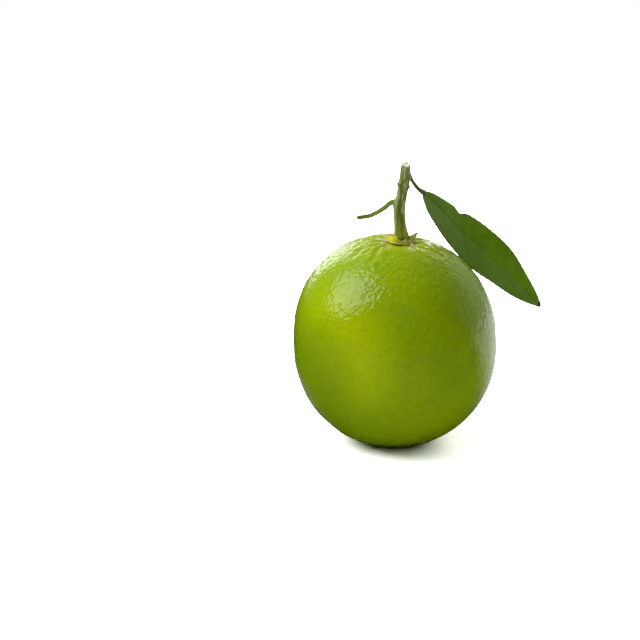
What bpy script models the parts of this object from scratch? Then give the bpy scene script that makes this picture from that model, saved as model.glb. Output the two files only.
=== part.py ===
"""A ripening green lime with its calyx, a piece of twig, one cut leaf stalk and one leaf.

The lime stands on its blossom end, on a small flat spot at the origin. +Z is up, and the leaf
hangs towards +X. All sizes are in metres.
"""

import math

import bmesh
import bpy
from mathutils import Vector

# The fruit: a turned form whose dome lies a little towards -X, cut flat where it rests.
FRUIT_RADIUS = 0.0290
UPPER_HEIGHT = 0.0302
LOWER_HEIGHT = 0.0301
ROUNDNESS = 2.15  # exponent of the outline: 2 is an ellipse, more is fuller
DOME_SHIFT = 0.0010  # how far the top of the dome lies towards -X
REST_CUT = 0.00060  # how much of the blossom end the flat spot takes off
FRUIT_STEPS = 56
FRUIT_ROWS = 32

# The dimple round the stem, and the calyx: a thin five-lobed cup that lies in it.
SEAT_X = 0.0016
DIMPLE_DEPTH = 0.0016
DIMPLE_RADIUS = 0.0055
GAP = 0.0003  # what neighbouring pieces keep between them
CALYX_DISC_RADIUS = 0.0029
CALYX_LOBE_RADIUS = 0.0046
CALYX_THICKNESS = 0.0009
CALYX_LOBES = 5
CALYX_TURN = math.radians(8.0)
CALYX_LOBE_POINT = 1.5  # over 1 makes the lobes narrower than the bays between them
CALYX_STEPS = 40
CALYX_ROWS = 6

# The twig and the two leaf stalks: points on the centre line, each with its radius.
STEM = (
    (0.0016, 0.0000, 0.0599, 0.00185),
    (0.0012, 0.0000, 0.0640, 0.00162),
    (0.0009, 0.0000, 0.0685, 0.00155),
    (0.0014, 0.0000, 0.0717, 0.00145),
    (0.0018, 0.0000, 0.0747, 0.00172),
    (0.0020, 0.0000, 0.0762, 0.00152),
    (0.0024, 0.0000, 0.0808, 0.00140),
)
BARE_LEAF_STALK = (
    (-0.0012, 0.0000, 0.0698, 0.00075),
    (-0.0021, -0.0002, 0.0694, 0.00060),
    (-0.0038, -0.0005, 0.0681, 0.00055),
    (-0.0072, -0.0010, 0.0663, 0.00050),
    (-0.0109, -0.0013, 0.0657, 0.00055),
)
LEAF_STALK = (
    (0.0041, 0.0008, 0.0768, 0.00032),
    (0.0047, 0.0017, 0.0754, 0.00036),
    (0.0064, 0.0036, 0.0729, 0.00046),
    (0.0080, 0.0053, 0.0715, 0.00050),
)
CURVE_STEPS = 4
STEM_BEVEL_STEPS = 4
STALK_BEVEL_STEPS = 2

# The leaf: the midrib runs through these points, base first.
MIDRIB = (
    (0.0084, 0.0060, 0.0713),
    (0.0197, 0.0142, 0.0580),
    (0.0320, 0.0175, 0.0464),
    (0.0438, 0.0200, 0.0341),
)
LEAF_HALF_WIDTH = 0.0075
LEAF_FACING = Vector((0.46, -0.76, 0.46)).normalized()  # the way its upper face looks
LEAF_FOLD = math.radians(7.0)  # how far each half rises from flat
LEAF_THICKNESS = 0.0004
LEAF_END_HALF_WIDTH = 0.0004
BASE_FULLNESS = 0.92  # under 1 puts the widest place nearer the base than the tip
OUTLINE_POWER = 0.72  # under 1 rounds both ends of the outline
NEAR_BASE = 0.16  # how much fuller the near half is towards the base
NEAR_BASE_LENGTH = 0.35
FAR_BASE = 0.74  # how full the far half is at the base and at the tip
FAR_TIP = 0.95
FAR_FILLS_AT = 0.36
FAR_FILLS_OVER = 0.06
NOTCH_AT = 0.26  # the small bite in the far margin, as a share of the length
NOTCH_DEPTH = 0.22
NOTCH_LENGTH = 0.03
LEAF_ROWS = 36
LEAF_COLUMNS = 8


def clear_scene():
    for obj in list(bpy.data.objects):
        bpy.data.objects.remove(obj, do_unlink=True)


def new_collection(name):
    collection = bpy.data.collections.new(name)
    bpy.context.scene.collection.children.link(collection)
    return collection


def new_material(name, colour, roughness):
    material = bpy.data.materials.new(name)
    material.use_nodes = True
    material.diffuse_color = (*colour, 1.0)
    shader = material.node_tree.nodes["Principled BSDF"]
    shader.inputs["Base Color"].default_value = (*colour, 1.0)
    shader.inputs["Roughness"].default_value = roughness
    shader.inputs["Metallic"].default_value = 0.0
    return material


def add_object(collection, name, data, material=None):
    obj = bpy.data.objects.new(name, data)
    collection.objects.link(obj)
    if material:
        data.materials.append(material)
    return obj


def dome_height(radius):
    """Height of the undented dome above the fruit's middle, at this distance from its axis."""
    share = min(radius / FRUIT_RADIUS, 1.0)
    return UPPER_HEIGHT * (1.0 - share**ROUNDNESS) ** (1.0 / ROUNDNESS)


def dimple(x, y):
    """How deep the skin is drawn in at this place, round the stem."""
    reach = math.hypot(x - SEAT_X, y)
    return DIMPLE_DEPTH * math.exp(-((reach / DIMPLE_RADIUS) ** 3))


def skin_height(x, y):
    """Height of the skin near the stem above the fruit's middle."""
    return dome_height(math.hypot(x + DOME_SHIFT, y)) - dimple(x, y)


def fruit_profile():
    """The outline from the stem end down the outer side to the blossom end."""
    points = [(0.0, 0.0, UPPER_HEIGHT)]
    for row in range(1, FRUIT_ROWS):
        angle = math.pi * row / FRUIT_ROWS
        radius = FRUIT_RADIUS * math.sin(angle) ** (2.0 / ROUNDNESS)
        height = dome_height(radius)
        if angle > math.pi / 2:
            height *= -LOWER_HEIGHT / UPPER_HEIGHT
        points.append((radius, 0.0, height))
    points.append((0.0, 0.0, -LOWER_HEIGHT))
    return points


def turned(collection, name, points, steps):
    """The profile turned once round Z by a Screw modifier."""
    mesh = bpy.data.meshes.new(name)
    mesh.from_pydata(points, [(i, i + 1) for i in range(len(points) - 1)], [])
    obj = add_object(collection, name, mesh)
    screw = obj.modifiers.new("Turn", "SCREW")
    screw.axis = "Z"
    screw.steps = steps
    screw.render_steps = steps
    screw.use_merge_vertices = True
    screw.merge_threshold = 0.00005
    screw.use_smooth_shade = True
    return obj


def as_mesh(obj):
    """The object's evaluated shape as a new mesh, and the object itself removed."""
    graph = bpy.context.evaluated_depsgraph_get()
    mesh = bpy.data.meshes.new_from_object(obj.evaluated_get(graph))
    bpy.data.objects.remove(obj, do_unlink=True)
    return mesh


def make_fruit(parts, cutters, rise, material):
    mesh = as_mesh(turned(parts, "fruit_blank", fruit_profile(), FRUIT_STEPS))
    mesh.name = "fruit"
    for vertex in mesh.vertices:
        if vertex.co.z > 0.0:
            vertex.co.x -= DOME_SHIFT * (vertex.co.z / UPPER_HEIGHT) ** 2
            vertex.co.z -= dimple(vertex.co.x, vertex.co.y)
    fruit = add_object(parts, "fruit", mesh, material)
    fruit.location.z = rise

    bpy.ops.mesh.primitive_cube_add(size=1.0)
    cutter = bpy.context.active_object
    cutter.name = "rest_cutter"
    for collection in list(cutter.users_collection):
        collection.objects.unlink(cutter)
    cutters.objects.link(cutter)
    side = 3.0 * FRUIT_RADIUS
    cutter.scale = (side, side, side)
    cutter.location = (0.0, 0.0, -side / 2.0)
    cutter.hide_render = True
    cutter.display_type = "WIRE"

    flat = fruit.modifiers.new("Flat spot", "BOOLEAN")
    flat.operation = "DIFFERENCE"
    flat.object = cutter
    return fruit


def make_calyx(parts, rise, material):
    """A disc turned flat, then drawn out into lobes that follow the skin, and thickened."""
    rim = [(CALYX_LOBE_RADIUS * row / CALYX_ROWS, 0.0, 0.0) for row in range(CALYX_ROWS, -1, -1)]
    mesh = as_mesh(turned(parts, "calyx_blank", rim, CALYX_STEPS))
    mesh.name = "calyx"
    for vertex in mesh.vertices:
        share = vertex.co.xy.length / CALYX_LOBE_RADIUS
        angle = math.atan2(vertex.co.y, vertex.co.x)
        lobe = (0.5 + 0.5 * math.cos(CALYX_LOBES * (angle - CALYX_TURN))) ** CALYX_LOBE_POINT
        reach = CALYX_DISC_RADIUS + (CALYX_LOBE_RADIUS - CALYX_DISC_RADIUS) * lobe
        vertex.co.x = SEAT_X + reach * share * math.cos(angle)
        vertex.co.y = reach * share * math.sin(angle)
        vertex.co.z = skin_height(vertex.co.x, vertex.co.y) + GAP
    if mesh.polygons[0].normal.z < 0.0:
        mesh.flip_normals()
    calyx = add_object(parts, "calyx", mesh, material)
    calyx.location.z = rise
    shell = calyx.modifiers.new("Thickness", "SOLIDIFY")
    shell.thickness = CALYX_THICKNESS
    shell.offset = 1.0
    return calyx


def make_twig(parts, name, points, bevel_steps, material):
    """A tapering round twig along a smooth curve, with closed ends."""
    curve = bpy.data.curves.new(name, "CURVE")
    curve.dimensions = "3D"
    curve.resolution_u = CURVE_STEPS
    curve.bevel_depth = 1.0
    curve.bevel_resolution = bevel_steps
    curve.use_fill_caps = True
    spline = curve.splines.new("BEZIER")
    spline.bezier_points.add(len(points) - 1)
    for knot, (x, y, z, radius) in zip(spline.bezier_points, points):
        knot.co = (x, y, z)
        knot.radius = radius
        knot.handle_left_type = "AUTO"
        knot.handle_right_type = "AUTO"
    spline.use_smooth = True
    return add_object(parts, name, curve, material)


def smooth_point(points, share):
    """A point on the smooth curve through these points (Catmull-Rom), share 0 to 1."""
    spans = len(points) - 1
    place = min(max(share, 0.0), 1.0) * spans
    index = min(int(place), spans - 1)
    step = place - index
    knots = [Vector(p) for p in points]
    ends = [knots[0] * 2 - knots[1]] + knots + [knots[-1] * 2 - knots[-2]]
    before, start, end, after = ends[index : index + 4]
    return 0.5 * (
        2 * start
        + (end - before) * step
        + (2 * before - 5 * start + 4 * end - after) * step**2
        + (3 * start - before - 3 * end + after) * step**3
    )


def leaf_half_width(share, far_side):
    """Half width of the blade at this share of its length, with the bite in the far margin."""
    width = math.sin(math.pi * share**BASE_FULLNESS) ** OUTLINE_POWER if 0.0 < share < 1.0 else 0.0
    if far_side:
        filled = 1.0 / (1.0 + math.exp((FAR_FILLS_AT - share) / FAR_FILLS_OVER))
        width *= FAR_BASE + (FAR_TIP - FAR_BASE) * filled
        width *= 1.0 - NOTCH_DEPTH * math.exp(-(((share - NOTCH_AT) / NOTCH_LENGTH) ** 2))
    else:
        width *= 1.0 + NEAR_BASE * math.exp(-((share / NEAR_BASE_LENGTH) ** 2))
    return max(LEAF_HALF_WIDTH * width, LEAF_END_HALF_WIDTH)


def leaf_point(share, across):
    """A point of the blade: share runs base to tip, across -1 (near margin) to 1 (far margin)."""
    middle = smooth_point(MIDRIB, share)
    along = (smooth_point(MIDRIB, share + 0.01) - smooth_point(MIDRIB, share - 0.01)).normalized()
    side = LEAF_FACING.cross(along).normalized()
    if side.z < 0.0:
        side = -side
    face = along.cross(side)
    if face.dot(LEAF_FACING) < 0.0:
        face = -face
    reach = leaf_half_width(share, across > 0.0) * abs(across)
    sign = 1.0 if across > 0.0 else -1.0
    return middle + side * sign * reach * math.cos(LEAF_FOLD) + face * reach * math.sin(LEAF_FOLD)


def make_leaf(parts, material):
    work = bmesh.new()
    bmesh.ops.create_grid(work, x_segments=LEAF_ROWS, y_segments=LEAF_COLUMNS, size=1.0)
    for vertex in work.verts:
        vertex.co = leaf_point(0.5 * (vertex.co.x + 1.0), vertex.co.y)
    mesh = bpy.data.meshes.new("leaf")
    work.to_mesh(mesh)
    work.free()
    mesh.shade_smooth()
    leaf = add_object(parts, "leaf", mesh, material)
    blade = leaf.modifiers.new("Thickness", "SOLIDIFY")
    blade.thickness = LEAF_THICKNESS
    blade.offset = 0.0
    return leaf


def build():
    clear_scene()
    parts = new_collection("lime")
    cutters = new_collection("cutters")
    rise = LOWER_HEIGHT - REST_CUT

    peel = new_material("lime_peel", (0.23, 0.36, 0.02), 0.35)
    cup = new_material("calyx_yellow", (0.42, 0.40, 0.05), 0.60)
    bark = new_material("green_bark", (0.20, 0.27, 0.06), 0.65)
    stalk = new_material("stalk_green", (0.10, 0.17, 0.03), 0.55)
    blade = new_material("leaf_green", (0.06, 0.13, 0.01), 0.45)

    make_fruit(parts, cutters, rise, peel)
    make_calyx(parts, rise, cup)
    make_twig(parts, "stem", STEM, STEM_BEVEL_STEPS, bark)
    make_twig(parts, "bare_leaf_stalk", BARE_LEAF_STALK, STALK_BEVEL_STEPS, stalk)
    make_twig(parts, "leaf_stalk", LEAF_STALK, STALK_BEVEL_STEPS, stalk)
    make_leaf(parts, blade)


build()
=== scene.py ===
"""The looks of a green lime with its twig and one leaf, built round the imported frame."""

import math

import bpy
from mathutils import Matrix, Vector


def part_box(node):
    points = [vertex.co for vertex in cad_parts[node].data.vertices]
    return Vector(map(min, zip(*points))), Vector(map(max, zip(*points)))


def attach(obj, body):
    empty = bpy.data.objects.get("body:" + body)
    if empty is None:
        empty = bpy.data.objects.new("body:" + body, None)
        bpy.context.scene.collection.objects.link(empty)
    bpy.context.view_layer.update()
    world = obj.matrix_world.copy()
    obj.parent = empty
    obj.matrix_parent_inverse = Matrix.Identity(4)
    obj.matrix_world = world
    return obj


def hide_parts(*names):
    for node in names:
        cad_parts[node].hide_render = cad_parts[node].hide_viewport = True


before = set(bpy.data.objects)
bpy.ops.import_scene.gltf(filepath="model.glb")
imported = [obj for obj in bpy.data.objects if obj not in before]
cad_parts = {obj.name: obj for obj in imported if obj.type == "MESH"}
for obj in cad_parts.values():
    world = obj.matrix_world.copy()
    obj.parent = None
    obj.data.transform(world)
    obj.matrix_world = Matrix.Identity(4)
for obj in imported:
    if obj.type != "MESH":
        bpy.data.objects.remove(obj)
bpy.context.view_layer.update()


# ---------------------------------------------------------------------------------------------
# Fruit. The lime itself: flesh in a thin waxy peel, grown as one piece and full of oil glands.
# It hangs from the twig by a dimpled neck, and rests on a small flat spot at its blossom end.
# ---------------------------------------------------------------------------------------------

fruit_low, fruit_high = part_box("fruit")
FRUIT_RADIUS = (fruit_high.x - fruit_low.x) / 2.0
FRUIT_LOWER = 0.0301  # from the widest ring down to where the blossom end would come to a tip
FRUIT_REST_CUT = 0.0006  # what the flat spot takes off that
FRUIT_RISE = FRUIT_LOWER - FRUIT_REST_CUT
FRUIT_UPPER = 0.0302
FRUIT_ROUNDNESS = 2.15
DOME_SHIFT = 0.0010
SEAT_X = 0.0016
DIMPLE_DEPTH = 0.0016
DIMPLE_RADIUS = 0.0055
SEAT = Vector((SEAT_X, 0.0, FRUIT_RISE + FRUIT_UPPER - DIMPLE_DEPTH))
FRUIT_CELLS = 124  # squares along each side of the cube that the skin is drawn from

FRUIT_UNEVENNESS = 0.0012
FURROW_DEPTH = 0.00035
FOLD_DEPTH = 0.00060
FOLD_TURNS = 3.2  # more of these makes more and narrower folds round the stem
FOLD_DRIFT = 130.0  # how fast a fold wanders on its way out from the stem
CRINKLE_DEPTH = 0.00010
CRINKLES_PER_METRE = 500.0
FRUIT_SEED = 3.7
RELIEF_FADE = (0.012, 0.050, 1.3, 0.45)  # from and to these distances from the stem, and how strong
GLAND_SPACING = 0.00125
GLAND_DEPTH = 0.00013
PORE_DEPTH = 0.00007
PORE_DARKNESS = 0.24
PEEL_ROUGHNESS = 0.11
PEEL_PATCH = 0.016
PEEL_DEEP = (0.198, 0.305, 0.001)
PEEL_GREEN = (0.230, 0.340, 0.001)
PEEL_YELLOW = (0.330, 0.370, 0.001)
PEEL_BLUSH_AND_PAINTED_LIGHT = (0.330, 0.420, 0.001)
PEEL_PAINTED_SHADE = (0.130, 0.212, 0.001)
PEEL_GLAND = (0.150, 0.215, 0.001)
# Sides of the peel painted lighter or darker: direction, where it starts and ends, strength, colour. The
# front left is a yellow blush with painted light on it; the lower left flank and the upper right shoulder
# are painted shade.
PEEL_PAINTED_SIDES = (
    ((-0.60, -0.78, 0.08), 0.70, 0.99, 0.95, PEEL_BLUSH_AND_PAINTED_LIGHT),
    ((-0.90, -0.28, -0.34), 0.50, 0.95, 0.90, PEEL_PAINTED_SHADE),
    ((0.74, -0.10, 0.66), 0.55, 0.95, 0.75, PEEL_PAINTED_SHADE),
)


def add_node(tree, kind, feeds=None, **settings):
    """A node with its settings. Each input, by name or number, gets a link or a value."""
    made = tree.nodes.new(kind)
    for name, value in settings.items():
        setattr(made, name, value)
    for key, feed in (feeds or {}).items():
        if isinstance(feed, bpy.types.NodeSocket):
            tree.links.new(feed, made.inputs[key])
        else:
            made.inputs[key].default_value = feed
    return made


def calc(tree, operation, *terms):
    """One sum on numbers."""
    return add_node(tree, "ShaderNodeMath", dict(enumerate(terms)), operation=operation).outputs[0]


def vector_calc(tree, operation, *terms):
    """One sum on vectors. A length or a distance comes out as a number."""
    made = add_node(tree, "ShaderNodeVectorMath", dict(enumerate(terms)), operation=operation)
    return made.outputs["Value" if operation in ("LENGTH", "DISTANCE", "DOT_PRODUCT") else "Vector"]


def scaled(tree, vector, factor):
    """A vector times a number."""
    feeds = {"Vector": vector, "Scale": factor}
    return add_node(tree, "ShaderNodeVectorMath", feeds, operation="SCALE").outputs["Vector"]


def fade(tree, value, start, end, low=0.0, high=1.0):
    """A smooth step from low at start to high at end."""
    feeds = {"Value": value, "From Min": start, "From Max": end, "To Min": low, "To Max": high}
    made = add_node(tree, "ShaderNodeMapRange", feeds, interpolation_type="SMOOTHSTEP")
    return made.outputs["Result"]


def noise(tree, vector, scale, detail=2.0, roughness=0.5):
    """Soft noise from 0 to 1."""
    feeds = {"Vector": vector, "Scale": scale, "Detail": detail, "Roughness": roughness}
    return add_node(tree, "ShaderNodeTexNoise", feeds).outputs[0]


def mix_colours(tree, factor, first, second):
    """Two colours mixed by a factor."""
    made = add_node(tree, "ShaderNodeMix", {"Factor": factor}, data_type="RGBA")
    for key, feed in ((6, first), (7, second)):
        if isinstance(feed, bpy.types.NodeSocket):
            tree.links.new(feed, made.inputs[key])
        else:
            made.inputs[key].default_value = (*feed, 1.0)
    return made.outputs[2]


def new_tree(name, kind, inputs, outputs):
    """A node tree with named sockets, and its input and output nodes."""
    tree = bpy.data.node_groups.new(name, kind)
    for direction, sockets in (("INPUT", inputs), ("OUTPUT", outputs)):
        for label, socket_kind, value in sockets:
            socket = tree.interface.new_socket(label, in_out=direction, socket_type=socket_kind)
            if value is not None:
                socket.default_value = value
    return tree, tree.nodes.new("NodeGroupInput").outputs, tree.nodes.new("NodeGroupOutput").inputs


def new_material(name):
    """A material, its tree and its Principled shader."""
    made = bpy.data.materials.new(name)
    made.use_nodes = True
    return made, made.node_tree, made.node_tree.nodes["Principled BSDF"]


def feed_shader(tree, shader, **links):
    """Links or sets the shader's own sockets, with underscores for the spaces in their names."""
    for name, feed in links.items():
        socket = shader.inputs[name.replace("_", " ")]
        if isinstance(feed, bpy.types.NodeSocket):
            tree.links.new(feed, socket)
        else:
            socket.default_value = feed


def gland_group():
    """Oil glands, which peel, leaf and stalks all have: one round spot in each cell."""
    inputs = (
        ("Vector", "NodeSocketVector", None),
        ("Spacing", "NodeSocketFloat", 0.001),
        ("Spot", "NodeSocketFloat", 0.4),
    )
    outputs = (("Mask", "NodeSocketFloat", None), ("Height", "NodeSocketFloat", None))
    tree, given, result = new_tree("Oil glands", "ShaderNodeTree", inputs, outputs)
    scale = calc(tree, "DIVIDE", 1.0, given["Spacing"])
    cells = add_node(tree, "ShaderNodeTexVoronoi", {"Vector": given["Vector"], "Scale": scale})
    distance = cells.outputs["Distance"]
    rim = calc(tree, "MULTIPLY", given["Spot"], 0.35)
    mask = fade(tree, distance, rim, given["Spot"], 1.0, 0.0)
    tree.links.new(mask, result["Mask"])
    tree.links.new(calc(tree, "SUBTRACT", 1.0, mask), result["Height"])
    return tree


def mottle_group():
    """The patchy colour of anything that grew: large soft clouds with a finer grain in them."""
    inputs = (
        ("Vector", "NodeSocketVector", None),
        ("First", "NodeSocketColor", None),
        ("Second", "NodeSocketColor", None),
        ("Patch", "NodeSocketFloat", 0.01),
        ("Grain", "NodeSocketFloat", 0.3),
    )
    outputs = (("Color", "NodeSocketColor", None),)
    tree, given, result = new_tree("Mottle", "ShaderNodeTree", inputs, outputs)
    scale = calc(tree, "DIVIDE", 1.0, given["Patch"])
    clouds = noise(tree, given["Vector"], scale, 3.0, 0.55)
    grains = noise(tree, given["Vector"], calc(tree, "MULTIPLY", scale, 9.0), 3.0, 0.6)
    swing = calc(tree, "MULTIPLY", calc(tree, "SUBTRACT", grains, 0.5), given["Grain"])
    share = fade(tree, calc(tree, "ADD", clouds, swing), 0.32, 0.68)
    tree.links.new(mix_colours(tree, share, given["First"], given["Second"]), result["Color"])
    return tree


glands = gland_group()
mottle = mottle_group()


def use_group(tree, group, feeds):
    """A group placed in a material with its own values."""
    return add_node(tree, "ShaderNodeGroup", feeds, node_tree=group).outputs


def object_place(tree):
    """Where a point of the piece is, in metres."""
    return tree.nodes.new("ShaderNodeTexCoord").outputs["Object"]


def bump(tree, height, depth, strength=1.0, under=None):
    """A normal from a height between 0 and 1."""
    feeds = {"Strength": strength, "Distance": depth, "Height": height}
    if under is not None:
        feeds["Normal"] = under
    return add_node(tree, "ShaderNodeBump", feeds).outputs["Normal"]


def peel_material():
    """Waxy citrus peel: green, yellower round the stem, a darker pore in each gland, with painted light at
    the front left and painted shade on two sides.
    """
    made, tree, shader = new_material("Lime peel")
    place = object_place(tree)
    feeds = {"First": (*PEEL_DEEP, 1), "Second": (*PEEL_GREEN, 1), "Patch": PEEL_PATCH, "Grain": 0.5}
    colour = use_group(tree, mottle, {"Vector": place, **feeds})["Color"]
    outward = vector_calc(tree, "SUBTRACT", place, (0.0, 0.0, FRUIT_RISE))
    outward = vector_calc(tree, "NORMALIZE", outward)
    # Painted light and shade by side: lighter and yellower at the front left, painted shade on the lower
    # left flank and the upper right shoulder.
    for side, start, end, strength, skin in PEEL_PAINTED_SIDES:
        facing = vector_calc(tree, "DOT_PRODUCT", outward, tuple(Vector(side).normalized()))
        colour = mix_colours(tree, fade(tree, facing, start, end, 0.0, strength), colour, skin)
    reach = vector_calc(tree, "DISTANCE", place, tuple(SEAT))
    colour = mix_colours(tree, fade(tree, reach, 0.003, 0.017, 0.75, 0.0), colour, PEEL_YELLOW)
    pores = use_group(tree, glands, {"Vector": place, "Spacing": GLAND_SPACING, "Spot": 0.42})
    colour = mix_colours(tree, calc(tree, "MULTIPLY", pores["Mask"], PORE_DARKNESS), colour, PEEL_GLAND)
    rough = calc(tree, "MULTIPLY_ADD", noise(tree, place, 2600.0, 2.0), 0.02, PEEL_ROUGHNESS)
    rough = calc(tree, "MULTIPLY_ADD", pores["Mask"], 0.04, rough)

    # The relief is strongest round the stem, as in the mesh.
    small = use_group(tree, glands, {"Vector": place, "Spacing": GLAND_SPACING * 0.5, "Spot": 0.40})
    upper = fade(tree, reach, *RELIEF_FADE)
    crinkle = calc(tree, "ABSOLUTE", calc(tree, "SUBTRACT", noise(tree, place, 620.0, 0.0), 0.5))
    crinkle = calc(tree, "SUBTRACT", 1.0, calc(tree, "MULTIPLY", crinkle, 4.0))
    normal = bump(tree, calc(tree, "MULTIPLY", crinkle, upper), 0.00005, 0.8)
    normal = bump(tree, calc(tree, "MULTIPLY", small["Height"], upper), 0.00001, 0.4, normal)
    normal = bump(tree, calc(tree, "MULTIPLY", pores["Height"], upper), PORE_DEPTH, 0.8, normal)
    feed_shader(tree, shader, Base_Color=colour, Roughness=rough, Normal=normal, Specular_IOR_Level=0.5)
    return made


def lime_form():
    """The skin of a lime: a cube drawn out to a full round form, dimpled, furrowed and pitted."""
    inputs = (
        ("Radius", "NodeSocketFloat", 0.029),
        ("Upper Height", "NodeSocketFloat", 0.030),
        ("Lower Height", "NodeSocketFloat", 0.030),
        ("Roundness", "NodeSocketFloat", 2.0),
        ("Dome Shift", "NodeSocketFloat", 0.001),
        ("Unevenness", "NodeSocketFloat", 0.0003),
        ("Seat X", "NodeSocketFloat", 0.0),
        ("Dimple Depth", "NodeSocketFloat", 0.0015),
        ("Dimple Radius", "NodeSocketFloat", 0.005),
        ("Furrow Depth", "NodeSocketFloat", 0.0003),
        ("Fold Depth", "NodeSocketFloat", 0.0003),
        ("Crinkle Depth", "NodeSocketFloat", 0.0001),
        ("Rise", "NodeSocketFloat", 0.03),
        ("Gland Spacing", "NodeSocketFloat", 0.0012),
        ("Gland Depth", "NodeSocketFloat", 0.0001),
        ("Cells", "NodeSocketInt", 60),
        ("Seed", "NodeSocketFloat", 0.0),
        ("Peel", "NodeSocketMaterial", None),
    )
    outputs = (("Geometry", "NodeSocketGeometry", None),)
    tree, given, result = new_tree("Lime form", "GeometryNodeTree", inputs, outputs)

    lines = calc(tree, "ADD", given["Cells"], 1)
    block = add_node(
        tree,
        "GeometryNodeMeshCube",
        {"Size": (2.0, 2.0, 2.0), "Vertices X": lines, "Vertices Y": lines, "Vertices Z": lines},
    ).outputs["Mesh"]

    # Each point of the cube goes out along its own direction, the corners evened by a tangent.
    corner = tree.nodes.new("GeometryNodeInputPosition").outputs[0]
    ray = vector_calc(tree, "NORMALIZE", vector_calc(tree, "TANGENT", scaled(tree, corner, math.pi / 4)))
    parts = add_node(tree, "ShaderNodeSeparateXYZ", {0: ray}).outputs
    flat_ray = add_node(tree, "ShaderNodeCombineXYZ", {"X": parts["X"], "Y": parts["Y"]}).outputs[0]
    above = calc(tree, "GREATER_THAN", parts["Z"], 0.0)
    spare = calc(tree, "SUBTRACT", given["Upper Height"], given["Lower Height"])
    height = calc(tree, "MULTIPLY_ADD", above, spare, given["Lower Height"])
    wide = calc(tree, "DIVIDE", vector_calc(tree, "LENGTH", flat_ray), given["Radius"])
    tall = calc(tree, "DIVIDE", calc(tree, "ABSOLUTE", parts["Z"]), height)
    wide = calc(tree, "POWER", wide, given["Roundness"])
    tall = calc(tree, "POWER", tall, given["Roundness"])
    power = calc(tree, "DIVIDE", -1.0, given["Roundness"])
    reach = calc(tree, "POWER", calc(tree, "ADD", wide, tall), power)
    seed_shift = add_node(tree, "ShaderNodeCombineXYZ", {"X": given["Seed"]}).outputs[0]
    lumps = noise(tree, vector_calc(tree, "ADD", scaled(tree, ray, 1.4), seed_shift), 1.0, 2.0)
    lumps = calc(tree, "MULTIPLY", calc(tree, "SUBTRACT", lumps, 0.5), given["Unevenness"])
    skin = scaled(tree, ray, calc(tree, "ADD", reach, lumps))

    # The dome lies a little to one side, and is drawn in round the stem.
    at = add_node(tree, "ShaderNodeSeparateXYZ", {0: skin}).outputs
    level = calc(tree, "DIVIDE", calc(tree, "MAXIMUM", at["Z"], 0.0), given["Upper Height"])
    lean = calc(tree, "MULTIPLY", calc(tree, "MULTIPLY", level, level), given["Dome Shift"])
    x = calc(tree, "SUBTRACT", at["X"], lean)
    from_seat = calc(tree, "SUBTRACT", x, given["Seat X"])
    around = add_node(tree, "ShaderNodeCombineXYZ", {"X": from_seat, "Y": at["Y"]}).outputs[0]
    away = vector_calc(tree, "LENGTH", around)
    bowl = calc(tree, "POWER", calc(tree, "DIVIDE", away, given["Dimple Radius"]), 3.0)
    bowl = calc(tree, "MULTIPLY", calc(tree, "EXPONENT", calc(tree, "MULTIPLY", bowl, -1.0)), above)
    drop = calc(tree, "MULTIPLY", bowl, given["Dimple Depth"])
    turned = scaled(tree, vector_calc(tree, "NORMALIZE", around), 2.6)
    furrows = noise(tree, vector_calc(tree, "ADD", turned, seed_shift), 1.6, 1.0)
    furrows = calc(tree, "ABSOLUTE", calc(tree, "SUBTRACT", furrows, 0.5))
    ring = fade(tree, away, 0.0045, 0.0105, 1.0, 0.0)
    ring = calc(tree, "MULTIPLY", fade(tree, away, 0.0020, 0.0035), ring)
    furrows = calc(tree, "MULTIPLY", calc(tree, "MULTIPLY", furrows, 4.0), ring)
    furrows = calc(tree, "MULTIPLY", furrows, above)
    drop = calc(tree, "MULTIPLY_ADD", furrows, given["Furrow Depth"], drop)
    z = calc(tree, "ADD", calc(tree, "SUBTRACT", at["Z"], drop), given["Rise"])
    shaped = add_node(tree, "ShaderNodeCombineXYZ", {"X": x, "Y": at["Y"], "Z": z}).outputs[0]
    smooth_skin = add_node(tree, "GeometryNodeSetPosition", {"Geometry": block, "Position": shaped})

    # Folds run out from the stem and break up into a crinkle, with low pebbles over the glands.
    place = tree.nodes.new("GeometryNodeInputPosition").outputs[0]
    outward = tree.nodes.new("GeometryNodeInputNormal").outputs[0]
    top = calc(tree, "ADD", given["Rise"], given["Upper Height"])
    seat_height = calc(tree, "SUBTRACT", top, given["Dimple Depth"])
    seat = add_node(tree, "ShaderNodeCombineXYZ", {"X": given["Seat X"], "Z": seat_height}).outputs[0]
    from_stem = vector_calc(tree, "SUBTRACT", place, seat)
    far = vector_calc(tree, "LENGTH", from_stem)
    level_way = add_node(tree, "ShaderNodeSeparateXYZ", {0: from_stem}).outputs
    compass = add_node(tree, "ShaderNodeCombineXYZ", {"X": level_way["X"], "Y": level_way["Y"]})
    compass = vector_calc(tree, "NORMALIZE", compass.outputs[0])
    along = calc(tree, "MULTIPLY", far, FOLD_DRIFT)
    drift = add_node(tree, "ShaderNodeCombineXYZ", {"X": given["Seed"], "Z": along}).outputs[0]
    folds = noise(tree, vector_calc(tree, "ADD", scaled(tree, compass, FOLD_TURNS), drift), 1.0, 1.0, 0.5)
    folds = calc(tree, "ABSOLUTE", calc(tree, "SUBTRACT", folds, 0.5))
    folds = calc(tree, "SUBTRACT", 0.35, calc(tree, "MINIMUM", calc(tree, "MULTIPLY", folds, 5.0), 1.0))
    near = fade(tree, far, 0.006, 0.021, 1.0, 0.0)
    near = calc(tree, "MULTIPLY", fade(tree, far, 0.0022, 0.0045), near)
    front = vector_calc(tree, "DOT_PRODUCT", compass, (0.06, -1.0, 0.0))
    near = calc(tree, "MULTIPLY", near, fade(tree, front, 0.80, 0.98, 1.0, 0.35))
    folds = calc(tree, "MULTIPLY", calc(tree, "MULTIPLY", folds, near), given["Fold Depth"])
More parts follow.
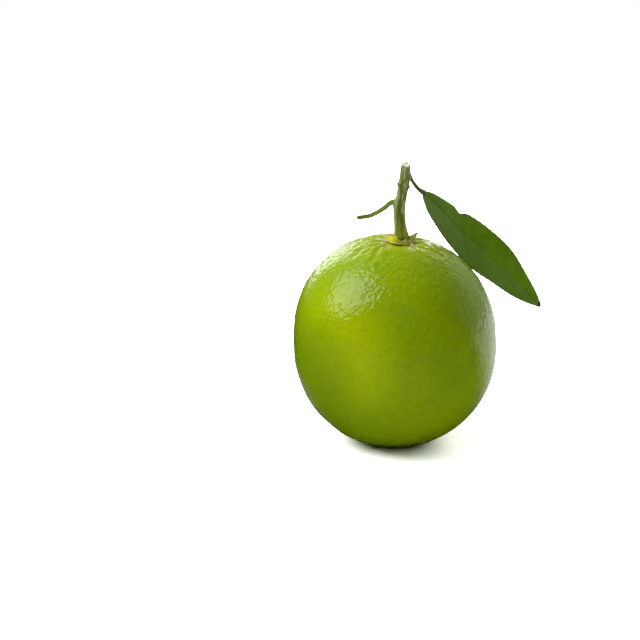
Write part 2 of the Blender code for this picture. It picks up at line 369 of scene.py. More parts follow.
    crinkle = calc(tree, "SUBTRACT", noise(tree, place, CRINKLES_PER_METRE, 0.0), 0.5)
    crinkle = calc(tree, "ABSOLUTE", crinkle)
    crinkle = calc(tree, "SUBTRACT", 0.4, calc(tree, "MINIMUM", calc(tree, "MULTIPLY", crinkle, 6.0), 1.0))
    upper = fade(tree, far, *RELIEF_FADE)
    creased = fade(tree, far, 0.012, 0.036, 1.3, 0.40)
    crinkle = calc(tree, "MULTIPLY", calc(tree, "MULTIPLY", crinkle, creased), given["Crinkle Depth"])
    scale = calc(tree, "DIVIDE", 1.0, given["Gland Spacing"])
    cells = add_node(tree, "ShaderNodeTexVoronoi", {"Vector": place, "Scale": scale}).outputs["Distance"]
    pebble = calc(tree, "SUBTRACT", 0.5, calc(tree, "MULTIPLY", cells, cells))
    pebble = calc(tree, "MULTIPLY", calc(tree, "MULTIPLY", pebble, upper), given["Gland Depth"])
    relief = calc(tree, "ADD", calc(tree, "ADD", folds, crinkle), pebble)
    pitted = add_node(
        tree,
        "GeometryNodeSetPosition",
        {"Geometry": smooth_skin.outputs[0], "Offset": scaled(tree, outward, relief)},
    ).outputs[0]

    # What would lie below the table is pressed flat.
    last = tree.nodes.new("GeometryNodeInputPosition").outputs[0]
    last_at = add_node(tree, "ShaderNodeSeparateXYZ", {0: last}).outputs
    rest = calc(tree, "MAXIMUM", last_at["Z"], 0.0)
    pressed = add_node(tree, "ShaderNodeCombineXYZ", {"X": last_at["X"], "Y": last_at["Y"], "Z": rest})
    feeds = {"Geometry": pitted, "Position": pressed.outputs[0]}
    standing = add_node(tree, "GeometryNodeSetPosition", feeds).outputs[0]
    smooth = add_node(tree, "GeometryNodeSetShadeSmooth", {"Geometry": standing}).outputs[0]
    real = add_node(tree, "GeometryNodeRealizeInstances", {"Geometry": smooth}).outputs[0]
    painted = add_node(tree, "GeometryNodeSetMaterial", {"Geometry": real, "Material": given["Peel"]})
    tree.links.new(painted.outputs[0], result["Geometry"])
    return tree


def grow(name, source, tree, values):
    """Runs a tree on an object with these inputs, and keeps the result as a plain mesh piece."""
    modifier = source.modifiers.new("Grow", "NODES")
    modifier.node_group = tree
    for item in tree.interface.items_tree:
        if item.in_out == "INPUT" and item.name in values:
            modifier[item.identifier] = values[item.name]
    graph = bpy.context.evaluated_depsgraph_get()
    grown = source.evaluated_get(graph)
    mesh = bpy.data.meshes.new_from_object(grown, preserve_all_data_layers=True, depsgraph=graph)
    mesh.name = name
    bpy.data.objects.remove(source, do_unlink=True)
    piece = bpy.data.objects.new(name, mesh)
    bpy.context.scene.collection.objects.link(piece)
    return piece


def empty_mesh(name):
    """A mesh object with nothing in it, for a tree that makes its own shape."""
    made = bpy.data.objects.new(name, bpy.data.meshes.new(name))
    bpy.context.scene.collection.objects.link(made)
    return made


def settle(piece, node):
    """The piece rides on the one body and stands for its node, whose imported part is hidden."""
    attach(piece, "root")
    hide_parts(node)


fruit = grow(
    "lime_fruit",
    empty_mesh("fruit_seed"),
    lime_form(),
    {
        "Radius": FRUIT_RADIUS,
        "Upper Height": FRUIT_UPPER,
        "Lower Height": FRUIT_LOWER,
        "Roundness": FRUIT_ROUNDNESS,
        "Dome Shift": DOME_SHIFT,
        "Unevenness": FRUIT_UNEVENNESS,
        "Seat X": SEAT_X,
        "Dimple Depth": DIMPLE_DEPTH,
        "Dimple Radius": DIMPLE_RADIUS,
        "Furrow Depth": FURROW_DEPTH,
        "Fold Depth": FOLD_DEPTH,
        "Crinkle Depth": CRINKLE_DEPTH,
        "Rise": FRUIT_RISE,
        "Gland Spacing": GLAND_SPACING,
        "Gland Depth": GLAND_DEPTH,
        "Cells": FRUIT_CELLS,
        "Seed": FRUIT_SEED,
        "Peel": peel_material(),
    },
)
settle(fruit, "fruit")


# ---------------------------------------------------------------------------------------------
# Stem. The piece of twig the lime was cut with: green young bark in lengthwise ridges, a growth
# ring, a swelling where each leaf stalk joins, and a pale dry end where the blade went through.
# ---------------------------------------------------------------------------------------------

STEM = (
    (0.0016, 0.0000, 0.0596, 0.00205),
    (0.0014, 0.0000, 0.0618, 0.00172),
    (0.0012, 0.0000, 0.0640, 0.00158),
    (0.0009, 0.0000, 0.0685, 0.00153),
    (0.0014, 0.0000, 0.0717, 0.00143),
    (0.0018, 0.0000, 0.0747, 0.00158),
    (0.0020, 0.0000, 0.0762, 0.00150),
    (0.0024, 0.0000, 0.0806, 0.00136),
)
STEM_RING = 0.0748
STEM_RING_HEIGHT = 0.00016
STEM_RING_WIDTH = 0.00028
STEM_RING_SLANT = 0.30
STEM_SPUR_HEIGHT = 0.00030
STEM_GROOVE_TURN = math.radians(-70.0)
STEM_GROOVE_WIDTH = 0.26
STEM_GROOVE_DEPTH = 0.00030
STEM_SCAR = Vector((0.0009, -0.0006, 0.0792))
STEM_SCAR_HEIGHT = 0.00035
STEM_PITH = Vector((0.0024, 0.0000, 0.0808))
STEM_CUT = 0.0802
STEM_CUT_SLANT = 0.42  # the blade came down towards the front
STEM_CUT_REACH = 0.0010  # how far below the cut the slant begins
STEM_TORN = 0.00013  # unevenness of the cut face at its edge
STEM_END_RADIUS = 0.0014
STEM_FOOT_FADES = (0.0605, 0.0665)  # heights between which the yellow of the foot fades
STEM_TOP_FADES = (0.0745, 0.0805)  # heights between which the bark turns grey
BARE_JOINT = Vector((-0.0012, -0.0002, 0.0700))
LEAF_JOINT = Vector((0.0040, 0.0006, 0.0773))
DARK_SCARS = ((BARE_JOINT, 0.0013), (LEAF_JOINT, 0.0011), (STEM_SCAR, 0.0008))
STEM_STEPS = 150  # along the path
STEM_SIDES = 72  # round it
STEM_END_DEPTH = 0.00016
BARK_GROOVE = (0.110, 0.155, 0.006)
BARK_RIDGE = (0.275, 0.325, 0.115)
BARK_GREY = (0.480, 0.500, 0.320)
BARK_BASE = (0.270, 0.300, 0.020)
BARK_CUT = (0.760, 0.760, 0.640)
BARK_DARK = (0.055, 0.060, 0.022)


def smooth_point(points, share):
    """A point on the smooth curve through these points (Catmull-Rom), share 0 to 1."""
    spans = len(points) - 1
    place = min(max(share, 0.0), 1.0) * spans
    index = min(int(place), spans - 1)
    step = place - index
    knots = [Vector(p) for p in points]
    ends = [knots[0] * 2 - knots[1]] + knots + [knots[-1] * 2 - knots[-2]]
    before, start, end, after = ends[index : index + 4]
    return 0.5 * (
        2 * start
        + (end - before) * step
        + (2 * before - 5 * start + 4 * end - after) * step**2
        + (3 * start - before - 3 * end + after) * step**3
    )


def path_mesh(name, knots, steps, end_depth):
    """Edges along a twig's middle, closed in at both ends, with its girth and its run in metres."""
    line = [smooth_point(knots, step / steps) for step in range(steps + 1)]
    first_way = (line[0].xyz - line[1].xyz).normalized()
    last_way = (line[-1].xyz - line[-2].xyz).normalized()
    turns = [math.radians(angle) for angle in range(10, 90, 13)]
    before, after = [], []
    for turn in turns:
        girth = math.cos(turn) ** 0.4
        depth = end_depth * math.sin(turn)
        before.insert(0, (*(line[0].xyz + first_way * depth), line[0][3] * girth))
        after.append((*(line[-1].xyz + last_way * depth), line[-1][3] * girth))
    line = [Vector(point) for point in before] + line + [Vector(point) for point in after]
    runs = [0.0]
    for last, point in zip(line, line[1:]):
        runs.append(runs[-1] + (point.xyz - last.xyz).length)
    mesh = bpy.data.meshes.new(name)
    mesh.from_pydata([point.xyz for point in line], [(i, i + 1) for i in range(len(line) - 1)], [])
    for label, values in (("girth", [point[3] for point in line]), ("run", runs)):
        attribute = mesh.attributes.new(label, "FLOAT", "POINT")
        attribute.data.foreach_set("value", values)
    made = bpy.data.objects.new(name, mesh)
    bpy.context.scene.collection.objects.link(made)
    return made


def twig_form():
    """Bark round a path: ridges wander along it, and it swells towards up to two joints."""
    inputs = (
        ("Path", "NodeSocketGeometry", None),
        ("Sides", "NodeSocketInt", 48),
        ("Ridges", "NodeSocketFloat", 1.6),
        ("Ridge Depth", "NodeSocketFloat", 0.0002),
        ("Wander", "NodeSocketFloat", 90.0),
        ("Roughness Depth", "NodeSocketFloat", 0.00005),
        ("Grain Stretch", "NodeSocketFloat", 0.2),
        ("Joint A", "NodeSocketVector", None),
        ("Joint B", "NodeSocketVector", None),
        ("Joint Size", "NodeSocketFloat", 0.0010),
        ("Joint Height", "NodeSocketFloat", 0.0),
        ("Seed", "NodeSocketFloat", 0.0),
        ("Bark", "NodeSocketMaterial", None),
    )
    outputs = (("Geometry", "NodeSocketGeometry", None),)
    tree, given, result = new_tree("Twig form", "GeometryNodeTree", inputs, outputs)
    rail = add_node(tree, "GeometryNodeMeshToCurve", {"Mesh": given["Path"]}).outputs[0]
    ring = add_node(tree, "GeometryNodeCurvePrimitiveCircle", {"Resolution": given["Sides"], "Radius": 1.0})
    share = tree.nodes.new("GeometryNodeSplineParameter").outputs["Factor"]
    marked = tree.nodes.new("GeometryNodeCaptureAttribute")
    marked.capture_items.new("FLOAT", "Around")
    tree.links.new(ring.outputs["Curve"], marked.inputs["Geometry"])
    tree.links.new(share, marked.inputs["Around"])
    girth, run = [
        add_node(tree, "GeometryNodeInputNamedAttribute", {"Name": label}, data_type="FLOAT").outputs[0]
        for label in ("girth", "run")
    ]
    tube = add_node(
        tree,
        "GeometryNodeCurveToMesh",
        {"Curve": rail, "Profile Curve": marked.outputs["Geometry"], "Scale": girth, "Fill Caps": True},
    ).outputs[0]

    turn = calc(tree, "MULTIPLY", marked.outputs["Around"], 2.0 * math.pi)
    across, up = calc(tree, "COSINE", turn), calc(tree, "SINE", turn)
    wander = calc(tree, "MULTIPLY_ADD", run, given["Wander"], given["Seed"])
    wide = add_node(
        tree,
        "ShaderNodeCombineXYZ",
        {
            "X": calc(tree, "MULTIPLY", across, given["Ridges"]),
            "Y": calc(tree, "MULTIPLY", up, given["Ridges"]),
            "Z": wander,
        },
    ).outputs[0]
    ridge = fade(tree, noise(tree, wide, 1.0, 1.0), 0.36, 0.60)
    place = tree.nodes.new("GeometryNodeInputPosition").outputs[0]
    rough = calc(tree, "SUBTRACT", noise(tree, place, 1500.0, 3.0), 0.5)
    lift = calc(tree, "MULTIPLY", calc(tree, "SUBTRACT", ridge, 0.6), given["Ridge Depth"])
    lift = calc(tree, "MULTIPLY_ADD", rough, given["Roughness Depth"], lift)
    for joint in ("Joint A", "Joint B"):
        near = calc(tree, "DIVIDE", vector_calc(tree, "DISTANCE", place, given[joint]), given["Joint Size"])
        swell = calc(tree, "EXPONENT", calc(tree, "MULTIPLY", calc(tree, "MULTIPLY", near, near), -1.0))
        lift = calc(tree, "MULTIPLY_ADD", swell, given["Joint Height"], lift)
    outward = tree.nodes.new("GeometryNodeInputNormal").outputs[0]
    shaped = add_node(
        tree, "GeometryNodeSetPosition", {"Geometry": tube, "Offset": scaled(tree, outward, lift)}
    ).outputs[0]
    grain = add_node(
        tree,
        "ShaderNodeCombineXYZ",
        {
            "X": calc(tree, "MULTIPLY", across, girth),
            "Y": calc(tree, "MULTIPLY", up, girth),
            "Z": calc(tree, "MULTIPLY", run, given["Grain Stretch"]),
        },
    ).outputs[0]
    for label, kind, value in (("grain", "FLOAT_VECTOR", grain), ("ridge", "FLOAT", ridge)):
        shaped = add_node(
            tree,
            "GeometryNodeStoreNamedAttribute",
            {"Geometry": shaped, "Name": label, "Value": value},
            data_type=kind,
        ).outputs[0]
    smooth = add_node(tree, "GeometryNodeSetShadeSmooth", {"Geometry": shaped}).outputs[0]
    real = add_node(tree, "GeometryNodeRealizeInstances", {"Geometry": smooth}).outputs[0]
    painted = add_node(tree, "GeometryNodeSetMaterial", {"Geometry": real, "Material": given["Bark"]})
    tree.links.new(painted.outputs[0], result["Geometry"])
    return tree


def read_attribute(tree, name, output="Fac"):
    """A value stored on the mesh."""
    return add_node(tree, "ShaderNodeAttribute", attribute_name=name).outputs[output]


def bark_group():
    """Skin of a twig or a stalk: pale streaks and flecks run along it, and its sunken furrows are painted
    darker, as painted shade mixed with random tone.
    """
    inputs = (
        ("Furrow", "NodeSocketColor", None),
        ("Ridge", "NodeSocketColor", None),
        ("Streak", "NodeSocketColor", None),
        ("Streaks", "NodeSocketFloat", 0.5),
    )
    outputs = (("Color", "NodeSocketColor", None), ("Height", "NodeSocketFloat", None))
    tree, given, result = new_tree("Bark", "ShaderNodeTree", inputs, outputs)
    grain = read_attribute(tree, "grain", "Vector")
    ridge = read_attribute(tree, "ridge")
    broad = noise(tree, grain, 1100.0, 2.0)
    fine = noise(tree, grain, 4200.0, 3.0, 0.6)
    level = calc(tree, "MULTIPLY_ADD", calc(tree, "SUBTRACT", broad, 0.5), 0.9, ridge)
    # Darker where the bark is sunken (the ridge value): painted shade in the furrows, with random tone from
    # the broad noise.
    colour = mix_colours(tree, fade(tree, level, 0.10, 0.85), given["Furrow"], given["Ridge"])
    streak = calc(tree, "MULTIPLY", fade(tree, fine, 0.50, 0.72), given["Streaks"])
    streak = calc(tree, "MULTIPLY", streak, fade(tree, level, 0.30, 0.90))
    colour = mix_colours(tree, streak, colour, given["Streak"])
    tree.links.new(colour, result["Color"])
    height = calc(tree, "MULTIPLY_ADD", fine, 0.5, calc(tree, "MULTIPLY", broad, 0.5))
    tree.links.new(height, result["Height"])
    return tree


bark = bark_group()
twig_tree = twig_form()


def stem_material():
    """Green bark, yellower at the foot and greyer towards the dry cut, dark in the scars, with painted
    shade under the growth ring.
    """
    made, tree, shader = new_material("Green twig bark")
    place = object_place(tree)
    colours = {"Furrow": (*BARK_GROOVE, 1), "Ridge": (*BARK_RIDGE, 1), "Streak": (*BARK_GREY, 1)}
    skin = use_group(tree, bark, {**colours, "Streaks": 0.75})
    at = add_node(tree, "ShaderNodeSeparateXYZ", {0: place}).outputs
    blotch = calc(tree, "SUBTRACT", noise(tree, place, 900.0, 3.0), 0.5)
    height = calc(tree, "MULTIPLY_ADD", blotch, 0.0012, at["Z"])
    colour = mix_colours(tree, fade(tree, height, *STEM_FOOT_FADES, 0.75, 0.0), skin["Color"], BARK_BASE)
    colour = mix_colours(tree, fade(tree, height, *STEM_TOP_FADES, 0.0, 0.15), colour, BARK_GREY)
    for scar, size in DARK_SCARS:
        near = vector_calc(tree, "DISTANCE", place, tuple(scar))
        colour = mix_colours(tree, fade(tree, near, size * 0.5, size * 1.2, 0.55, 0.0), colour, BARK_DARK)
    # A dark line of painted shade follows just under the raised growth ring, which slants about the stem's
    # middle.
    shade_under_ring = calc(tree, "SUBTRACT", height, STEM_RING + 0.0018 * STEM_RING_SLANT)
    shade_under_ring = calc(tree, "MULTIPLY_ADD", at["X"], STEM_RING_SLANT, shade_under_ring)
    shade_under_ring = calc(tree, "ABSOLUTE", calc(tree, "ADD", shade_under_ring, 0.0003))
    colour = mix_colours(tree, fade(tree, shade_under_ring, 0.0001, 0.00035, 0.6, 0.0), colour, BARK_DARK)
    cut = fade(tree, height, STEM_CUT - 0.0001, STEM_CUT + 0.0004)
    colour = mix_colours(tree, cut, colour, BARK_CUT)
    pith = vector_calc(tree, "DISTANCE", place, tuple(STEM_PITH))
    pith = calc(tree, "MULTIPLY", fade(tree, pith, 0.0003, 0.0007, 0.5, 0.0), cut)
    colour = mix_colours(tree, pith, colour, BARK_RIDGE)
    normal = bump(tree, skin["Height"], 0.00008, 0.7)
    feed_shader(tree, shader, Base_Color=colour, Roughness=0.62, Normal=normal, Specular_IOR_Level=0.3)
    return made


stem = grow(
    "lime_stem",
    path_mesh("stem_path", STEM, STEM_STEPS, STEM_END_DEPTH),
    twig_tree,
    {
        "Sides": STEM_SIDES,
        "Ridges": 1.35,
        "Ridge Depth": 0.00048,
        "Wander": 60.0,
        "Roughness Depth": 0.00016,
        "Grain Stretch": 0.26,
        "Joint A": BARE_JOINT,
        "Joint B": LEAF_JOINT,
        "Joint Size": 0.0013,
        "Joint Height": 0.0007,
        "Seed": 5.0,
        "Bark": stem_material(),
    },
)


def shape_stem(piece):
    """Cuts the long groove, with painted shade in it, raises the growth ring with its two spurs, and slants
    the cut end.
    """
    line = [smooth_point(STEM, step / 300.0) for step in range(301)]
    ridge = piece.data.attributes["ridge"].data
    for index, vertex in enumerate(piece.data.vertices):
        spot = vertex.co
        middle = min(line, key=lambda point: abs(point.z - spot.z))
        outward = Vector((spot.x - middle.x, spot.y - middle.y, 0.0))
        way = outward.normalized()
        turn = math.atan2(way.y, way.x)
        wander = 0.16 * math.sin(spot.z * 900.0) + 0.10 * math.sin(spot.z * 2300.0)
        groove = math.exp(-(((turn - STEM_GROOVE_TURN - wander) / STEM_GROOVE_WIDTH) ** 2))
        groove *= 1.0 - 0.7 * math.exp(-(((spot.z - STEM_RING) / 0.0009) ** 2))
        if spot.z < STEM_CUT:
            spot -= way * STEM_GROOVE_DEPTH * groove
        # Painted shade in the long groove: its ridge value drops, so the bark there takes the dark furrow
        # colour.
        ridge[index].value = max(ridge[index].value - 0.9 * groove, 0.0)
        ring = math.exp(-(((spot.z - STEM_RING) / STEM_RING_WIDTH) ** 2))
        spot += way * (STEM_RING_HEIGHT + STEM_SPUR_HEIGHT * way.x**12) * ring
        spot.z -= outward.x * STEM_RING_SLANT * math.exp(-(((spot.z - STEM_RING) / 0.0012) ** 2))
        scar = math.exp(-(((spot - STEM_SCAR).length / 0.0005) ** 2))
        spot += way * STEM_SCAR_HEIGHT * scar
        if spot.z > STEM_CUT - STEM_CUT_REACH:
            into = min((spot.z - STEM_CUT + STEM_CUT_REACH) / STEM_CUT_REACH, 1.0)
            spot.z += outward.y * STEM_CUT_SLANT * into
            torn = STEM_TORN * math.sin(5.0 * turn + 0.7) * math.sin(3.0 * turn)
            spot.z += torn * outward.length / STEM_END_RADIUS * (1.0 if spot.z > STEM_CUT else 0.3)


shape_stem(stem)
settle(stem, "stem")


# ---------------------------------------------------------------------------------------------
# Leaf stalks. One has lost its leaf and ends in a blunt dry tip. The other is thin and dark,
# and carries the leaf. Both grow out of a swelling on the stem.
# ---------------------------------------------------------------------------------------------

BARE_LEAF_STALK = (
    (-0.0008, 0.0000, 0.0701, 0.00074),
    (-0.0021, -0.0002, 0.0694, 0.00070),
    (-0.0038, -0.0005, 0.0681, 0.00066),
    (-0.0072, -0.0010, 0.0663, 0.00059),
    (-0.0108, -0.0013, 0.0657, 0.00062),
)
LEAF_STALK = (
    (0.0037, 0.0006, 0.0777, 0.00046),
    (0.0047, 0.0017, 0.0754, 0.00050),
    (0.0064, 0.0036, 0.0729, 0.00064),
    (0.0080, 0.0053, 0.0715, 0.00078),
    (0.0086, 0.0059, 0.0710, 0.00070),
)
STALK_STEPS = 90
STALK_SIDES = 32
STALK_END_DEPTH = 0.0002
STALK_FURROW = (0.090, 0.140, 0.008)
STALK_RIDGE = (0.190, 0.270, 0.030)
STALK_STREAK = (0.300, 0.340, 0.100)
STALK_END = (0.300, 0.310, 0.200)
STALK_DRIES = (-0.0104, -0.0112)  # along X, where the bare stalk turns dry towards its tip
LEAF_STALK_FURROW = (0.075, 0.095, 0.018)
LEAF_STALK_RIDGE = (0.150, 0.175, 0.050)
LEAF_STALK_STREAK = (0.180, 0.200, 0.060)


def stalk_material(name, furrow, ridge, streak):
    """Smooth green stalk skin."""
    made, tree, shader = new_material(name)
    feeds = {"Furrow": (*furrow, 1), "Ridge": (*ridge, 1), "Streak": (*streak, 1), "Streaks": 0.5}
    skin = use_group(tree, bark, feeds)
    normal = bump(tree, skin["Height"], 0.00004, 0.6)
    colour = skin["Color"]
    feed_shader(tree, shader, Base_Color=colour, Roughness=0.5, Normal=normal, Specular_IOR_Level=0.35)
    return made


def dry_end(material, start, end):
    """Dries a stalk's skin to grey-brown along X, between these two places."""
    tree = material.node_tree
    base = tree.nodes["Principled BSDF"].inputs["Base Color"]
    at = add_node(tree, "ShaderNodeSeparateXYZ", {0: object_place(tree)}).outputs
    fresh = base.links[0].from_socket
    tree.links.new(mix_colours(tree, fade(tree, at["X"], start, end), fresh, STALK_END), base)


def add_stalk(name, node, knots, seed, material):
    """One leaf stalk, grown along its path and settled on its node."""
    values = {
        "Sides": STALK_SIDES,
        "Ridges": 0.9,
        "Ridge Depth": 0.00012,
        "Wander": 120.0,
        "Roughness Depth": 0.00005,
        "Grain Stretch": 0.16,
        "Seed": seed,
        "Bark": material,
    }
    path = path_mesh(name + "_path", knots, STALK_STEPS, STALK_END_DEPTH)
    settle(grow(name, path, twig_tree, values), node)


bare_skin = stalk_material("Bare stalk skin", STALK_FURROW, STALK_RIDGE, STALK_STREAK)
dry_end(bare_skin, *STALK_DRIES)
leaf_skin = stalk_material("Leaf stalk skin", LEAF_STALK_FURROW, LEAF_STALK_RIDGE, LEAF_STALK_STREAK)
add_stalk("lime_bare_leaf_stalk", "bare_leaf_stalk", BARE_LEAF_STALK, 11.0, bare_skin)
add_stalk("lime_leaf_stalk", "leaf_stalk", LEAF_STALK, 23.0, leaf_skin)


# ---------------------------------------------------------------------------------------------
# Calyx. The five sepals under the old flower, now a tough star between the stem and the fruit:
# yellow and lumpy at the front left, olive elsewhere, with one dry sepal that turns up at the
# right. It sits in the fruit's dimple, and the stem grows out of its hole.
# ---------------------------------------------------------------------------------------------

CALYX_DISC = 0.0027
CALYX_THICKNESS = 0.0009
CALYX_HOLE = 0.0006
CALYX_SIDES = 200
CALYX_ROWS = 22
COLLAR_RADIUS = 0.0021
COLLAR_HEIGHT = 0.0013
COLLAR_WIDTH = 0.0012
SEPAL_FOOT = 0.0016
CALYX_LIFT = 0.00020  # clear of the peel, so that a dark line runs under the rim
RIM_HEIGHT = 0.00045
RIM_WIDTH = 0.00045
# Each sepal: direction in degrees, length past the disc, half width in degrees, lift of its tip,
# plumpness. The first is the dry one that turns up.
SEPALS = (
    (12.0, 0.0022, 22.0, 0.0027, 0.35),
    (80.0, 0.0016, 28.0, 0.0008, 0.6),
    (170.0, 0.0021, 32.0, 0.0005, 1.15),
    (230.0, 0.0013, 30.0, 0.0001, 1.25),
    (297.0, 0.0005, 32.0, 0.0, 0.45),
)
CALYX_YELLOW = (0.580, 0.560, 0.025)
CALYX_OLIVE = (0.330, 0.350, 0.065)
CALYX_PALE = (0.450, 0.480, 0.130)
CALYX_BROWN = (0.120, 0.085, 0.012)
CALYX_RIM = (0.370, 0.350, 0.040)
CALYX_BLOOM = Vector((-0.0013, -0.0022, 0.0))
CALYX_SCAR = Vector((0.0013, -0.0022, 0.0))


def skin_height(x, y):
    """Height of the fruit's skin near the stem above the fruit's middle."""
    share = min(math.hypot(x + DOME_SHIFT, y) / FRUIT_RADIUS, 1.0)
    dome = FRUIT_UPPER * (1.0 - share**FRUIT_ROUNDNESS) ** (1.0 / FRUIT_ROUNDNESS)
    reach = math.hypot(x - SEAT_X, y)
    return dome - DIMPLE_DEPTH * math.exp(-((reach / DIMPLE_RADIUS) ** 3))


def sepal_shares(angle):
    """How much of each sepal lies in this direction."""
    shares = []
    for way, _, half_width, _, _ in SEPALS:
        off = (math.degrees(angle) - way + 180.0) % 360.0 - 180.0
        shares.append(math.exp(-((abs(off) / half_width) ** 1.6)))
    return shares


def calyx_point(angle, share, upper):
    """A point of the calyx: share runs from the hole to the rim, on its upper or lower face."""
    shares = sepal_shares(angle)
    dry = shares[0]
    length, lift, plump = 0.0, 0.0, 0.0
    for part, (_, sepal_length, _, sepal_lift, sepal_plump) in zip(shares, SEPALS):
        length += part * sepal_length
        lift += part * sepal_lift
        plump += part * part * sepal_plump
    lumps = 1.0 + 0.25 * math.sin(11.0 * angle + 1.3) * math.sin(4.0 * angle)
    reach = CALYX_HOLE + (CALYX_DISC + length - CALYX_HOLE) * share
    x = SEAT_X + reach * math.cos(angle)
    y = reach * math.sin(angle)
    out = max(reach - CALYX_DISC, 0.0) / max(length, 0.0003)
    rise = max(reach - SEPAL_FOOT, 0.0) / (CALYX_DISC + length - SEPAL_FOOT)
    bottom = skin_height(x, y) + CALYX_LIFT + lift * rise
    thickness = CALYX_THICKNESS * (1.0 - (0.45 + 0.3 * dry) * min(out, 1.0))
    thickness *= math.sqrt(max(1.0 - share**10, 0.0))
    crown = COLLAR_RADIUS + 0.35 * length
    collar = COLLAR_HEIGHT * plump * lumps * math.exp(-(((reach - crown) / COLLAR_WIDTH) ** 2))
    edge = CALYX_DISC + 0.6 * length
    rim = RIM_HEIGHT * lumps * (1.0 - 0.8 * dry) * math.exp(-(((reach - edge) / RIM_WIDTH) ** 2))
    top = bottom + thickness + (collar + rim) * math.sqrt(max(1.0 - share**6, 0.0))
    return Vector((x, y, FRUIT_RISE + (top if upper else bottom)))


def calyx_mesh():
    """Upper and lower faces of the star, joined round its hole and its rim."""
    mesh = bpy.data.meshes.new("lime_calyx")
    points, faces = [], []
    for upper in (True, False):
        for row in range(CALYX_ROWS + 1):
            for side in range(CALYX_SIDES):
                angle = 2.0 * math.pi * side / CALYX_SIDES
                points.append(calyx_point(angle, row / CALYX_ROWS, upper))
    ring = CALYX_SIDES
    layer = ring * (CALYX_ROWS + 1)
    for row in range(CALYX_ROWS):
        for side in range(ring):
            a, b = row * ring + side, row * ring + (side + 1) % ring
            faces.append((a, a + ring, b + ring, b))
            faces.append((layer + a, layer + b, layer + b + ring, layer + a + ring))
    rim = ring * CALYX_ROWS
    for side in range(ring):
        after = (side + 1) % ring
        faces.append((side, after, layer + after, layer + side))
        faces.append((rim + side, layer + rim + side, layer + rim + after, rim + after))
    mesh.from_pydata(points, [], faces)
    mesh.shade_smooth()
    return mesh


def calyx_material():
    """Yellow where it is fresh, olive elsewhere, with a brown spot in front and brown in the folds."""
    made, tree, shader = new_material("Calyx skin")
    place = object_place(tree)
    feeds = {"First": (*CALYX_OLIVE, 1), "Second": (*CALYX_PALE, 1), "Patch": 0.0012, "Grain": 0.8}
    ground = use_group(tree, mottle, {"Vector": place, **feeds})
    blotch = calc(tree, "MULTIPLY", calc(tree, "SUBTRACT", noise(tree, place, 900.0, 2.0), 0.5), 0.0016)
    plan = vector_calc(tree, "MULTIPLY", place, (1.0, 1.0, 0.0))
    front = add_node(tree, "ShaderNodeSeparateXYZ", {0: plan}).outputs["Y"]
    colour = mix_colours(tree, fade(tree, front, -0.0012, -0.0022, 0.0, 0.8), ground["Color"], CALYX_RIM)
    bloom = calc(tree, "ADD", vector_calc(tree, "DISTANCE", plan, tuple(CALYX_BLOOM)), blotch)
    colour = mix_colours(tree, fade(tree, bloom, 0.0012, 0.0030, 1.0, 0.0), colour, CALYX_YELLOW)
    scar = calc(tree, "ADD", vector_calc(tree, "DISTANCE", plan, tuple(CALYX_SCAR)), blotch)
    colour = mix_colours(tree, fade(tree, scar, 0.0003, 0.0011, 0.9, 0.0), colour, CALYX_BROWN)
    fold = fade(tree, noise(tree, place, 1900.0, 2.0), 0.60, 0.75, 0.0, 0.5)
    colour = mix_colours(tree, fold, colour, CALYX_BROWN)
    normal = bump(tree, noise(tree, place, 2400.0, 3.0), 0.0001, 0.8)
    feed_shader(tree, shader, Base_Color=colour, Roughness=0.55, Normal=normal, Specular_IOR_Level=0.35)
    return made


calyx = bpy.data.objects.new("lime_calyx", calyx_mesh())
calyx.data.materials.append(calyx_material())
bpy.context.scene.collection.objects.link(calyx)
settle(calyx, "calyx")


# ---------------------------------------------------------------------------------------------
# Leaf. A leathery citrus leaf hanging from its stalk, folded a little along the midrib, with
# faint side veins, a finely scalloped margin, a bite in the far edge and a blunt dark tip.
# ---------------------------------------------------------------------------------------------

MIDRIB = (
    (0.0084, 0.0060, 0.0713),
    (0.0197, 0.0142, 0.0580),
    (0.0320, 0.0175, 0.0464),
    (0.0438, 0.0200, 0.0341),
)
LEAF_HALF_WIDTH = 0.0075
LEAF_FACING = Vector((0.46, -0.76, 0.46)).normalized()
LEAF_FOLD = math.radians(7.0)
LEAF_THICKNESS = 0.0004
LEAF_END_HALF_WIDTH = 0.0004
LEAF_HEEL = 0.0016  # how far the blade's shoulders reach back past its foot
BASE_FULLNESS = 0.92
OUTLINE_POWER = 0.72
NEAR_BASE = 0.16
NEAR_BASE_LENGTH = 0.35
NEAR_SHOULDER = 0.65
NEAR_SHOULDER_LENGTH = 0.10
TIP_HALF_WIDTH = 0.0010
TIP_FROM = 0.975
FAR_BASE = 0.74
FAR_TIP = 0.95
FAR_FILLS_AT = 0.36
FAR_FILLS_OVER = 0.06
NOTCH_AT = 0.26
NOTCH_DEPTH = 0.22
NOTCH_LENGTH = 0.03
LEAF_ROWS = 200
LEAF_COLUMNS = 56
MIDRIB_GROOVE = 0.00030
MIDRIB_WIDTH = 0.00045
LEAF_RIPPLE = 0.00022
LEAF_RIPPLES = 3.2
LEAF_GLAND_SPACING = 0.0006
VEIN_PAIRS = 9
VEIN_DEPTH = 0.00005
VEIN_SLANT = 0.16
SCALLOPS = 26
SCALLOP_DEPTH = 0.00012
LEAF_GREEN = (0.128, 0.250, 0.001)
LEAF_DEEP = (0.098, 0.196, 0.001)
LEAF_SHADED = (0.092, 0.178, 0.012)
LEAF_PALE = (0.130, 0.210, 0.040)
LEAF_VEIN = (0.120, 0.190, 0.020)
LEAF_BACK = (0.180, 0.250, 0.090)
LEAF_DRY = (0.050, 0.040, 0.012)


